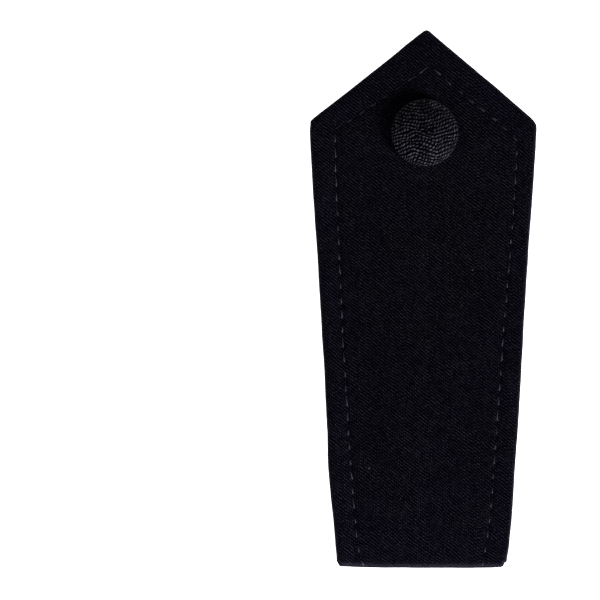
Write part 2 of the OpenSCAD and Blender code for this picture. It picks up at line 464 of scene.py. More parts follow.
# The places of the small faces round the post, and the length and height of a wall there.
HOLE_UV, LOWER_HOLE_UV = (0.004, 0.975), (0.004, 0.955)
SEAT_WALL_UV, SEAT_UV = (0.3, 0.975), (0.80, 0.945)
WALL_LONG, WALL_HIGH = 9, 1.5


def single_round():
    """1 in a column where the two layers are one fold, and 0 where each ends in a lip of its own."""
    up = contour(0)[:, 1] + BOARD_L / 2
    return np.where(AT_END, 1.0, 1 - step(*LIPS_BETWEEN, up))


ONE = single_round()


def edge_rows():
    """The rows of the edge: insets, heights above the board's middle, and runs along the cloth."""
    rows = []
    for t in np.linspace(0, 1, EDGE_ROWS + 1)[1:]:
        run = t * LIP_RUN
        a = max(0.0, (run - EDGE_INSET + EDGE_R) / EDGE_R)
        lip_in = EDGE_INSET - run if a == 0 else EDGE_R * (1 - math.sin(a))
        lip_z = SLIT / 2 + EDGE_R + EDGE_R * math.cos(a)
        b = t * math.pi / 2
        fold_in, fold_z = FOLD_R * (1 - math.sin(b)), FOLD_R * math.cos(b)
        rows.append(((1 - ONE) * lip_in + ONE * fold_in, (1 - ONE) * lip_z + ONE * fold_z,
                     (1 - ONE) * run + ONE * FOLD_R * b))
    return rows


def chart(x, y, under):
    """The place in the unit square of a point of an outer face."""
    u = (x + CHART_LEFT) / CHART_MM + (UNDER_U if under else TOP_U)
    return np.stack([u, (y + CHART_LOW) / CHART_MM + CHART_MARGIN], -1)


def slit_chart(x, y, under):
    """The place in the unit square of a point of one of the slit's faces."""
    across = (x + SLIT_HALF_WIDE) / (2 * SLIT_HALF_WIDE)
    u = across * SLIT_STRIP + (SLIT_UNDER_U if under else SLIT_TOP_U)
    return np.stack([u, (y + CHART_LOW) / CHART_MM + CHART_MARGIN], -1)


def relief_share(height):
    """How much of a face's relief an edge keeps at a height above the middle of the board."""
    return step(SLIT / 2, FULL_RELIEF_HEIGHT, height)


def face_z(x, y, height, under):
    """The height of a face where its layer lies this far above or below the board's middle."""
    share = relief_share(height)
    if under:
        return FOLD_R - height + under_relief(x, y) * share
    return FOLD_R + height + top_relief(x, y) * share


def outer_rows(under):
    """The rows of one outer face, from the innermost contour to the slit's mouth."""
    places, cloth, uvs, seam = [], [], [], []
    rows = [(np.full(N, d), np.full(N, FOLD_R), np.full(N, EDGE_INSET - d)) for d in FLAT_INSETS]
    for inset, height, run in rows + edge_rows():
        at = contour(inset) + loose(inset)
        unrolled = contour(EDGE_INSET - run) + loose(inset)
        places.append(np.c_[at, face_z(*at.T, height, under)])
        y = UNROLLED - unrolled[:, 1] if under else unrolled[:, 1]
        cloth.append(np.c_[unrolled[:, 0], y, np.zeros(N)])
        uvs.append(chart(*unrolled.T, under))
        seam.append(signed_seam(*at.T))
    return np.array(places), np.array(cloth), np.array(uvs), np.array(seam)


def outer_faces(made):
    """The two outer faces with their edges. The last row of each is the slit's mouth."""
    grids = []
    for under in (False, True):
        places, cloth, uvs, seam = outer_rows(under)
        grids.append((made.add(places, cloth=cloth, seam=seam), uvs))
    (top, top_uv), (beneath, beneath_uv) = grids
    beneath[-1, AT_END] = top[-1, AT_END]
    made.grid(top, top_uv, wrap=True, flip=True)
    made.grid(beneath, beneath_uv, wrap=True)
    return top, beneath


def slit_faces(made, top, beneath):
    """The slit's two faces, of which the innermost rows are given back.

    On the sides they start at its mouth, and at the square end they meet inside the fold.
    """
    inside_fold = (COLUMN > 0) & (COLUMN < END_LAST)
    into = np.where(AT_END, np.minimum(COLUMN, END_LAST - COLUMN), 0) * COLUMN_STEP
    start = np.where(AT_END, SLIT_END_INSET * step(0, SLIT_END_RUN, into), EDGE_R * (1 - ONE))
    meet = contour(start) + loose(start)
    shared = made.add(np.c_[meet, np.full(N, FOLD_R)], cloth=np.c_[meet, np.zeros(N)], seam=OFF_SEAM)
    innermost = []
    for under, outer in ((False, top), (True, beneath)):
        z = np.full(N, FOLD_R + (-1 if under else 1) * SLIT / 2)
        ids, uvs = [np.where(inside_fold, shared, outer[-1])], [slit_chart(*meet.T, under)]
        for share in SLIT_SHARES:
            inset = start + (INNER_INSET - start) * share
            at = contour(inset) + loose(inset)
            ids.append(made.add(np.c_[at, z], cloth=np.c_[at, np.zeros(N)], seam=OFF_SEAM))
            uvs.append(slit_chart(*at.T, under))
        made.grid(np.array(ids), np.array(uvs), wrap=True, flip=not under)
        innermost.append(ids[-1])
    return innermost


def circle(radius):
    """Points of a circle round the post."""
    a = 2 * math.pi * np.arange(HOLE_STEPS) / HOLE_STEPS
    return BUTTON_AT + radius * np.stack([np.cos(a), np.sin(a)], 1)


def middle(made, ring, hole_r, spacing, height, under, relief=None):
    """Fills a face inside its innermost row, and gives the points round its hole.

    A face with a relief is an outer one, and one without is a face of the slit.
    """
    ring_xy, hole_xy = contour(INNER_INSET), circle(hole_r)
    inner, tri = filled(ring_xy, hole_xy, spacing, CLEAR_SHARE * spacing)
    x, y = np.concatenate([hole_xy, inner]).T
    z, seam, place, flip = np.full(len(x), height), OFF_SEAM, slit_chart, not under
    if relief:
        z, seam, place, flip = height + relief(x, y), signed_seam(x, y), chart, under
    cloth = np.c_[x, UNROLLED - y if under else y, np.zeros(len(x))]
    new = made.add(np.c_[x, y, z], cloth=cloth, seam=seam)
    uv = place(*np.concatenate([ring_xy, np.c_[x, y]]).T, under)
    made.triangles(np.r_[ring, new][tri], uv[tri], flip)
    return new[:HOLE_STEPS]


def closed(row):
    """A row of points with its first one repeated at the end."""
    return np.concatenate([row, row[:1]])


def wall(made, upper, lower, at):
    """The round wall between two rings of points."""
    u = at[0] + np.linspace(0, WALL_LONG / CHART_MM, HOLE_STEPS + 1)
    uv = [np.stack([u, np.full(HOLE_STEPS + 1, at[1] + k / CHART_MM)], -1) for k in (WALL_HIGH, 0)]
    made.grid(np.stack([closed(upper), closed(lower)]), np.stack(uv))


def post_seat(made, hole_back, hole_below):
    """The seat for the post's foot in the under face, with the hole's wall above it."""
    ids, uvs = [], []
    for radius in (POST_HOLE_R, SEAT_R):
        xy = circle(radius)
        ids.append(made.add(np.c_[xy, np.full(HOLE_STEPS, SEAT_DEPTH)],
                            cloth=np.c_[xy, np.zeros(HOLE_STEPS)], seam=OFF_SEAM))
        uvs.append(closed((xy - BUTTON_AT) / CHART_MM + SEAT_UV))
    wall(made, hole_below, ids[0], LOWER_HOLE_UV)
    wall(made, ids[1], hole_back, SEAT_WALL_UV)
    made.grid(np.stack([closed(row) for row in ids]), np.stack(uvs))


def cover_mesh():
    """The folded strip with its slit, the hole for the post and the seat for its foot."""
    made = MeshMaker()
    top, beneath = outer_faces(made)
    slit_top, slit_under = slit_faces(made, top, beneath)
    hole_top = middle(made, top[0], POST_HOLE_R, TOP_SPACING, BOARD_T, False, top_relief)
    hole_back = middle(made, beneath[0], SEAT_R, UNDER_SPACING, 0.0, True, under_relief)
    hole_slit = middle(made, slit_top, POST_HOLE_R, SLIT_SPACING, FOLD_R + SLIT / 2, False)
    hole_below = middle(made, slit_under, POST_HOLE_R, SLIT_SPACING, FOLD_R - SLIT / 2, True)
    wall(made, hole_top, hole_slit, HOLE_UV)
    post_seat(made, hole_back, hole_below)
    return made


# Stitches.

STITCH_ROWS, STITCH_SEED = 15, 21
# The thread is two plies: their radius, how far they lie off its middle, the sides of their mesh
# and the length of a twist.
PLY_R, PLY_OFF, PLY_SIDES = 0.085, 0.072, 6
THREAD_TWIST = 0.85
# How thick the plies are where they come out of the cloth, how much thicker they grow, and where.
THIN, THICKENS, THICKENS_BETWEEN = 0.52, 0.70, (0.3, 0.95)
# How deep the thread lies at its ends, how far it rises, and how near the floor it may come.
THREAD_SUNK, THREAD_RISE, THREAD_LEAST_Z = 0.42, 0.54, 0.2
# Each stitch has its own tilt and sway, in millimetres, and shows over a share of its length that
# ends at a place of its own. It comes out of the cloth from so much before that share to so much
# inside it, and goes in from so much before the share's end to a place past the next hole.
TILT, TILT_SPREAD, SWAY = 0.07, 0.07, 0.04
SHOWN, SHOWN_ON_LEG, SHOWN_END = (0.28, 0.82), (0.28, 0.72), (0.88, 0.98)
COMES_OUT, GOES_IN_AT, GOES_IN_BEFORE = (0.22, 0.16), 1.04, 0.10
# Its brightness has a range, a factor for each run of the seam and an extra one near the point's
# apex, and it grows along the stitch.
GLOWS, RUN_GLOW = (0.55, 1.45), (0.78, 0.52, 0.4, 1.0)
APEX, APEX_GLOW, APEX_WIDE = np.array(SEAM_RUNS[1][-1]), 0.55, 5
FIRST_GLOW, GLOW_GAIN, GLOW_BETWEEN = 0.6, 0.8, (0.35, 0.95)
# The unit square has this many cells a side, one for each ply: margin, length, breadth, and how
# far the last side of a ply's mesh reaches.
CELLS, CELL_MARGIN, CELL_LONG, CELL_WIDE, CELL_CLOSE = 20, 0.004, 0.04, 0.034, 0.040


def seam_height(x, y, under):
    """The height of a face of the cloth at the seam, which runs on over the fold at the square end."""
    past = np.clip(EDGE_INSET - (y + BOARD_L / 2), 0, FOLD_R)
    return face_z(x, y, np.sqrt(FOLD_R ** 2 - past ** 2), under)


def caps(ids, uv):
    """Fans that close both ends of a tube."""
    fan = np.array([[0, k, k + 1] for k in range(1, ids.shape[1] - 1)])
    back = fan[:, ::-1]
    return [(ids[0][back], uv[0][back]), (ids[-1][fan], uv[-1][fan])]


def unit_rows(v):
    return v / np.linalg.norm(v, axis=1)[:, None]


def stitches(name, under, material):
    """The stitches of one face."""
    made = MeshMaker()
    rng = np.random.default_rng(STITCH_SEED + under)
    t = np.linspace(0.02, 0.98, STITCH_ROWS)
    thick = THIN + THICKENS * step(*THICKENS_BETWEEN, t)
    gain = FIRST_GLOW + GLOW_GAIN * step(*GLOW_BETWEEN, t)
    round_share = np.arange(PLY_SIDES) / PLY_SIDES
    cos_round, sin_round = (f(2 * math.pi * round_share)[:, None] for f in (np.cos, np.sin))
    count = 0
    for run, holes in enumerate(HOLES):
        on_leg = run in LEG_RUNS
        for a, b in zip(holes[:-1], holes[1:]):
            # Each stitch comes out of the cloth thin and goes back in thick, at its lower end.
            if b[1] > a[1]:
                a, b = b, a
            length = np.linalg.norm(b - a)
            ahead = (b - a) / length
            side = np.array([-ahead[1], ahead[0]])
            tilt = (TILT + TILT_SPREAD * rng.standard_normal()) * (-1 if under else 1)
            shown = rng.uniform(*(SHOWN_ON_LEG if on_leg else SHOWN))
            last = rng.uniform(*SHOWN_END)
            glow = rng.uniform(*GLOWS)
            from_apex = np.linalg.norm((a + b) / 2 - APEX)
            glow *= RUN_GLOW[run] + (APEX_GLOW * hump(from_apex, APEX_WIDE) if on_leg else 0)
            sway = (t - 0.5) * 2 * tilt + SWAY * np.sin(2 * math.pi * t + rng.uniform(0, 6))
            xy = a + np.outer(t, b - a) + np.outer(sway, side)
            out = step(last - shown - COMES_OUT[0], last - shown + COMES_OUT[1], t)
            lift = out * step(GOES_IN_AT, last - GOES_IN_BEFORE, t)
            z = seam_height(*xy.T, under)
            if under:
                z = np.maximum(z + THREAD_SUNK - THREAD_RISE * lift, THREAD_LEAST_Z)
            else:
                z = z - THREAD_SUNK + THREAD_RISE * lift
            line = np.c_[xy, z]
            tangent = unit_rows(np.gradient(line, axis=0))
            flat_side = np.r_[side, 0]
            across = unit_rows(flat_side - (tangent @ flat_side)[:, None] * tangent)
            up = np.cross(tangent, across)
            turn = 2 * math.pi * t * length / THREAD_TWIST + rng.uniform(0, 2 * math.pi)
            ring = across[:, None] * cos_round + up[:, None] * sin_round
            for ply in (0, math.pi):
                c, s = np.cos(turn + ply)[:, None], np.sin(turn + ply)[:, None]
                centre = line + PLY_OFF * thick[:, None] * (across * c + up * s)
                tube = centre[:, None] + PLY_R * thick[:, None, None] * ring
                strand = np.zeros(tube.shape)
                strand[..., 0] = (t * length)[:, None]
                strand[..., 1] = round_share
                strand[..., 2] = count
                ids = made.add(tube, strand=strand, glow=(glow * gain)[:, None])
                uv = np.zeros(tube.shape[:2] + (2,))
                uv[..., 0] = (count % CELLS) / CELLS + CELL_MARGIN + t[:, None] * CELL_LONG
                uv[..., 1] = (count // CELLS) / CELLS + CELL_MARGIN + round_share * CELL_WIDE
                wide = np.concatenate([uv, uv[:, :1] + np.array([0, CELL_CLOSE])], 1)
                made.grid(np.concatenate([ids, ids[:, :1]], 1), wide)
                made.faces[3].extend(caps(ids, uv))
                count += 1
    return made.make(name, material)


# The button's cloth.

# Distances along the cloth from the crown: round the dome and the rim, and to where the rim is
# widest. The crown's square grid ends shortly before that.
DOME_R = (RIM_X ** 2 + (BUTTON_H - RIM_R) ** 2 - RIM_R ** 2) / (2 * (BUTTON_H - 2 * RIM_R))
RIM_TURN = math.atan2(DOME_R - (BUTTON_H - RIM_R), RIM_X)
DOME_RUN = (math.pi / 2 - RIM_TURN) * DOME_R
RIM_RUN = (RIM_TURN + math.pi / 2) * RIM_R
EQUATOR_RUN = DOME_RUN + RIM_TURN * RIM_R
DENSE_RUN = DOME_RUN + 0.75 * RIM_TURN * RIM_R
UNDERSIDE_RUN = DOME_RUN + RIM_RUN
FULL_RUN = DOME_RUN + RIM_RUN + RIM_X - TURNED_R
BUTTON_GRID, RIM_ROWS = 236, 23
# How far the weave is stretched where the cloth is pulled down round the rim.
RIM_STRETCH = 0.4
# How deep the weave is, from which share of the rim on it fades, and how much thinner the
# turned-in cloth is.
WEAVE_DEPTH, FADE_FROM, TURNED_THINNER = 0.17, 0.72, 0.02
# On the side towards the tip the rim is smooth: the range of directions and of runs over which it
# becomes so, how it ends round the equator, and how much of the weave's depth it takes away.
SMOOTH_SIDE, SMOOTH_RUN, SMOOTH_END, SMOOTHED = (0.55, 0.95), (8.25, 8.9), (0.1, 0.5), 0.8
# The relief value of the smooth part, of the turned-in cloth and of the hidden inner face.
SMOOTH_TONE, TURNED_TONE, INNER_TONE = 0.5, 0.25, 0.5
# Radii of the outer and the inner face in the unit square, and the middle of the inner one.
OUTER_UV_R, INNER_UV_R, INNER_UV_AT = 0.49, 0.068, 0.075

# A row of the weave rises and falls on its way across: (x, rise) below the middle and above it.
LOW_ROWS = [(-8.5, -1.16), (-2.4, 0.79), (2.4, -0.79), (8.5, 1.22)]
HIGH_ROWS = [(-8.5, 1.60), (-0.8, 0.06), (8.5, 3.22)]
ROW_PITCH, ROPE_PITCH = 0.90, 0.80
# The weave wanders: height, size and seed for x, y, the line between the two kinds of row and
# the rows' own bends. That line runs at HIGH_FROM.
WANDER_X, WANDER_Y = (0.08, 1.5, 31), (0.08, 1.5, 32)
WANDER_LINE, WANDER_BEND = (0.45, 2.0, 35), (0.4, 2.8, 36)
HIGH_FROM = 0.9
# Each rope segment is a slanted oval: its slant with height, size and seed of its changes, its
# shift, half its length and half its breadth with how much more they may be, and its edge.
SLANT, SLANT_CHANGE = 0.52, (0.28, 1.6, 33)
SHIFT = 0.14
HALF_LONG, HALF_WIDE = (0.37, 0.13), (0.185, 0.07)
OVAL_TOP, OVAL_POWER = 1.05, 0.7
# Multipliers that scatter the numbers of rows and segments.
ROW_SCATTER, ROW_SCATTER_START = 12.9898, 4.1
SCATTERS = ((12.9898, 78.233), (39.346, 11.135), (73.156, 52.235))
SCATTER_SIZE = 43758.5453


def dome(run, depth=0.0):
    """Radius, height and the outward direction (in radius, height) at a distance from the crown."""
    on_dome = run < DOME_RUN
    a = np.where(on_dome, math.pi / 2 - run / DOME_R, RIM_TURN - (run - DOME_RUN) / RIM_R)
    a = np.maximum(a, -math.pi / 2)
    over = np.maximum(0, run - DOME_RUN - RIM_RUN)
    dome_r, rim_r = DOME_R - depth, RIM_R - depth
    radius = np.where(on_dome, dome_r * np.cos(a), RIM_X + rim_r * np.cos(a) - over)
    height = np.where(on_dome, BUTTON_H - DOME_R + dome_r * np.sin(a), RIM_R + rim_r * np.sin(a))
    return radius, height, np.cos(a), np.sin(a)


def wander(x, y, change):
    """A ripple of the given height, size and seed."""
    height, size, seed = change
    return height * ripple(x, y, size, seed)


def scatter(value):
    """A number from 0 to 1 that looks random and is always the same for a value."""
    return np.modf(np.abs(np.sin(value)) * SCATTER_SIZE)[0]


def rope_weave(x, y):
    """The button's weave at unrolled places: its relief from 0 to 1, and each rope segment's number."""
    x = x + wander(x, y, WANDER_X)
    y = y + wander(x, y, WANDER_Y)
    high = y > HIGH_FROM + wander(x, x * 0, WANDER_LINE)
    bend = x + wander(x, y, WANDER_BEND)
    low_rise, high_rise = (np.interp(bend, *np.array(rows).T) for rows in (LOW_ROWS, HIGH_ROWS))
    phase = (y - np.where(high, high_rise, low_rise)) / ROW_PITCH
    row = np.floor(phase)
    place = x / ROPE_PITCH + scatter(row * ROW_SCATTER + ROW_SCATTER_START)
    number = np.floor(place)
    own, own_size, own_place = (scatter(number * p + row * q) for p, q in SCATTERS)
    slant = SLANT + wander(x, y, SLANT_CHANGE)
    a = (place - number - 0.5) * ROPE_PITCH + SHIFT * (own_place - 0.5)
    b = (phase - row - 0.5) * ROW_PITCH + SHIFT * (own_size - 0.5)
    long_way = (a * np.cos(slant) + b * np.sin(slant)) / (HALF_LONG[0] + HALF_LONG[1] * own_size)
    short_way = (b * np.cos(slant) - a * np.sin(slant)) / (HALF_WIDE[0] + HALF_WIDE[1] * own_place)
    relief = np.clip(OVAL_TOP - long_way ** 2 - short_way ** 2, 0, 1) ** OVAL_POWER
    return relief, own


def round_post(radius, angle, height):
    """Places round the button's middle."""
    return np.stack([BUTTON_AT[0] + radius * np.cos(angle), BUTTON_AT[1] + radius * np.sin(angle),
                     BUTTON_Z + height], -1)


def button_surface(run, angle):
    """The outer face's places at distances from the crown, with the values that its material reads."""
    radius, height, outward, upward = dome(run)
    stretched = np.where(run < EQUATOR_RUN, radius, RIM_X + RIM_R)
    spread = (1 - RIM_STRETCH) * run + RIM_STRETCH * stretched
    x, y = spread * np.cos(angle), spread * np.sin(angle)
    relief, own = rope_weave(x, y)
    fade = 1 - step(DOME_RUN + FADE_FROM * RIM_RUN, UNDERSIDE_RUN, run)
    smooth = (step(*SMOOTH_SIDE, np.sin(angle)) * step(*SMOOTH_RUN, run)
              * (1 - step(EQUATOR_RUN - SMOOTH_END[0], EQUATOR_RUN + SMOOTH_END[1], run)))
    sunk = WEAVE_DEPTH * fade * (1 - SMOOTHED * smooth) * (relief - 1.0)
    radius = radius + outward * (sunk - (1 - fade) * TURNED_THINNER)
    xyz = round_post(radius, angle, np.maximum(height + upward * sunk, 0.0))
    tone = (relief * (1 - smooth) + SMOOTH_TONE * smooth) * fade + TURNED_TONE * (1 - fade)
    return xyz, dict(relief=tone, strand=np.stack([x, y, own], -1))


def outer_uv(run, angle):
    share = run / FULL_RUN * OUTER_UV_R
    return np.stack([0.5 + share * np.cos(angle), 0.5 + share * np.sin(angle)], -1)


def button_mesh():
    """The button's cloth: its woven outer face, the ring turned in below and the inner face."""
    made = MeshMaker()
    # The dense middle is a square grid pulled round, evenly spaced on the dome.
    a, b = np.meshgrid(*[np.linspace(-1, 1, BUTTON_GRID)] * 2)
    run = np.maximum(np.abs(a), np.abs(b)) * DENSE_RUN
    beside = math.pi / 4 * b / np.where(a == 0, 1, a) + np.where(a < 0, math.pi, 0)
    above = math.pi / 2 - math.pi / 4 * a / np.where(b == 0, 1, b) + np.where(b < 0, math.pi, 0)
    angle = np.where(np.abs(a) >= np.abs(b), beside, above)
    xyz, values = button_surface(run, angle)
    ids = made.add(xyz, **values)
    made.grid(ids, outer_uv(run, angle))

    # Rings go on from the square's edge, round the rim and in under the button.
    edge, angle = (np.r_[g[0, :-1], g[:-1, -1], g[-1, :0:-1], g[:0:-1, 0]] for g in (ids, angle))
    runs = np.r_[DENSE_RUN + (UNDERSIDE_RUN - DENSE_RUN) * np.linspace(0, 1, RIM_ROWS + 1)[1:],
                 UNDERSIDE_RUN + (RIM_X - TURNED_R) * np.array([0.25, 0.5, 0.75, 1.0])]
    rings, uvs = [edge], [outer_uv(DENSE_RUN, angle)]
    for run in runs:
        xyz, values = button_surface(np.full(len(edge), run), angle)
        rings.append(made.add(xyz, **values))
        uvs.append(outer_uv(run, angle))
    made.grid(np.array(rings), np.array(uvs), wrap=True, flip=True)

    # The turned-in cut edge and the inner face against the mould.
    c, s = np.cos(angle), np.sin(angle)
    profile = [(TURNED_R, height) for height in (0.2, 0.5, 0.8, BUTTON_WALL)]
    for run in np.r_[DOME_RUN + RIM_RUN * np.array([1.0, 0.75, 0.5, 0.25, 0.0]),
                     DOME_RUN * np.array([0.75, 0.5, 0.25])]:
        profile.append(dome(run, BUTTON_WALL)[:2])
    rings = [rings[-1]]
    for radius, height in profile:
        xyz = round_post(radius, angle, np.full(len(c), height))
        strand = np.stack([radius * c, radius * s, c * 0], -1)
        rings.append(made.add(xyz, relief=INNER_TONE, strand=strand))
    shares = INNER_UV_R * (1 - np.arange(len(rings)) / (len(rings) + 1))
    uvs = INNER_UV_AT + np.stack([np.outer(shares, c), np.outer(shares, s)], -1)
    made.grid(np.array(rings), uvs, wrap=True, flip=True)
    crown_at = [*BUTTON_AT, BUTTON_Z + BUTTON_H - BUTTON_WALL]
    crown = made.add([crown_at], relief=INNER_TONE, strand=np.zeros((1, 3)))
    last = rings[-1]
    tri = np.stack([last, np.roll(last, -1), np.full(len(last), crown[0])], -1)
    centre = np.full((len(last), 2), INNER_UV_AT)
    made.triangles(tri, np.stack([uvs[-1], np.roll(uvs[-1], -1, 0), centre], 1), flip=True)
    return made


# Materials.

# Nearly all of a noise's values lie between these.
NOISE_RANGE = (0.3, 0.7)


class Nodes:
    """A material and short ways to add its nodes."""

    def __init__(self, name):
        self.material = bpy.data.materials.new(name)
        self.material.use_nodes = True
        self.tree = self.material.node_tree
        self.tree.nodes.clear()

    def add(self, kind, inputs=None, **settings):
        node = self.tree.nodes.new("ShaderNode" + kind)
        for key, value in settings.items():
            setattr(node, key, value)
        for key, value in (inputs or {}).items():
            self.put(node.inputs[key], value)
        return node

    def put(self, socket, value):
        if isinstance(value, bpy.types.NodeSocket):
            self.tree.links.new(value, socket)
        else:
            socket.default_value = value

    def math(self, operation, *values):
        return self.add("Math", dict(enumerate(values)), operation=operation).outputs[0]

    def plus(self, a, b):
        return self.math("ADD", a, b)

    def minus(self, a, b):
        return self.math("SUBTRACT", a, b)

    def times(self, first, *others):
        for other in others:
            first = self.math("MULTIPLY", first, other)
        return first

    def added(self, a, b):
        """The sum of two vectors or colours."""
        return self.add("VectorMath", {0: a, 1: b}, operation="ADD").outputs[0]

    def scaled(self, color, by):
        return self.add("VectorMath", {0: color, "Scale": by}, operation="SCALE").outputs[0]

    def value(self, name):
        """A value that the mesh holds for each point."""
        return self.add("Attribute", attribute_name=name).outputs["Fac"]

    def vector(self, name):
        """A vector that the mesh holds for each point."""
        return self.add("Attribute", attribute_name=name).outputs["Vector"]

    def split(self, vector):
        return self.add("SeparateXYZ", {0: vector}).outputs

    def join(self, x, y, z=0.0):
        return self.add("CombineXYZ", {0: x, 1: y, 2: z}).outputs[0]

    def noise(self, vector, scale, detail=2.0, rough=0.5):
        return self.add("TexNoise", {"Vector": vector, "Scale": scale, "Detail": detail,
                                     "Roughness": rough}, noise_dimensions="3D").outputs["Fac"]

    def own(self, number):
        """A random value for each number."""
        return self.add("TexWhiteNoise", {"W": number}, noise_dimensions="1D").outputs[0]

    def own_of_two(self, a, b):
        """A random value for each pair of numbers."""
        return self.add("TexWhiteNoise", {"Vector": self.join(a, b)}, noise_dimensions="2D").outputs[0]

    def span(self, value, lo, hi, to_lo, to_hi):
        return self.add("MapRange", {0: value, 1: lo, 2: hi, 3: to_lo, 4: to_hi}).outputs[0]

    def vary(self, noise, to_lo, to_hi):
        return self.span(noise, *NOISE_RANGE, to_lo, to_hi)

    def wobble(self, vector, scale, rough, width):
        """A noise that swings by half of width to either side of 0."""
        return self.times(self.minus(self.noise(vector, scale, 3.0, rough), 0.5), width)

    def veiled(self, lit, nap, nap_lit):
        """Brightness where a share of the cloth is hidden by nap of another brightness."""
        return self.plus(self.times(lit, self.minus(1.0, nap)), self.times(nap, nap_lit))

    def mix(self, factor, a, b):
        return self.add("Mix", {0: factor, 6: a, 7: b}, data_type="RGBA", blend_type="MIX").outputs[2]

    def shade(self, color, roughness, **constants):
        """Ends the material in a plain shader, which is given back."""
        shader = self.add("BsdfPrincipled", {"Base Color": color, "Roughness": roughness})
        for key, value in constants.items():
            shader.inputs[key.replace("_", " ")].default_value = value
        out = self.add("OutputMaterial")
        self.tree.links.new(shader.outputs[0], out.inputs["Surface"])
        return shader

    def bump(self, shader, height, distance, strength):
        bump = self.add("Bump", {"Height": height, "Distance": distance, "Strength": strength})
        self.put(shader.inputs["Normal"], bump.outputs[0])


# The twill: pitch of the warp yarns across the board and of the picks along it. A warp yarn lies
# over two picks and under one, and each yarn's period begins LINE_STEP of it later.
WARP_PITCH, PICK_PITCH, LINE_STEP, PERIOD = 0.4214, 0.270, 0.4, 3.0
# How far a warp yarn may be shifted along the board by chance, in picks.
YARN_SHIFT = 0.65
# The single yarns stand out more towards the square end: their share of the relief from the
# first y to the second, and the brightness that makes up for it.
YARN_SHARE_Y, YARN_SHARE, YARN_SHARE_LIT = (5.0, -45.0), (0.60, 0.90), (1.22, 1.53)
# These keep the patches, the nap and the yarns' own values apart from the other noises.
PATCH_SHIFT, NAP_SHIFT, YARN_NUMBER_SHIFT = (31.0, 17.0, 5.0), (7.0, 3.0, 9.0), 0.37
# Colours of the twill: plain, bluish in patches, dull in blotches and in the border.
TWILL_PLAIN, TWILL_BLUISH = (0.0166, 0.0157, 0.0168, 1), (0.0154, 0.0143, 0.0192, 1)
TWILL_DULL, TWILL_BORDER = (0.0168, 0.0160, 0.0170, 1), (0.0154, 0.0140, 0.0216, 1)
# The haze added all over the twill, and more of it at the square end, where the extra is painted light.
TWILL_HAZE, TWILL_END_HAZE_AND_LIGHT = (0.0001, 0.0000, 0.0025, 1), (0.0003, 0.0002, 0.0036, 1)
# The colour of light specks, and that of the painted sheen where the cloth turns away.
SPECK_COLOR, PAINTED_SHEEN_COLOR = (0.13, 0.12, 0.13, 1), (0.056, 0.051, 0.071)
# Light specks: the scale of their cells, their radius and the share of cells that have none.
SPECK_SCALE, SPECK_R, SPECKLESS = 0.16, 0.035, 0.86
THREAD_COLOR = (0.062, 0.060, 0.082)
ROPE_COLOR, ROPE_HAZE = (0.0270, 0.0258, 0.0325), (0.0002, 0.0001, 0.0018)
# The button's cloth is darker round this place near the middle of its crown.
CROWN_DARK_AT = (1.8, 1.2)
MOULD_COLOR, METAL_COLOR = (0.020, 0.020, 0.024), (0.42, 0.41, 0.39)


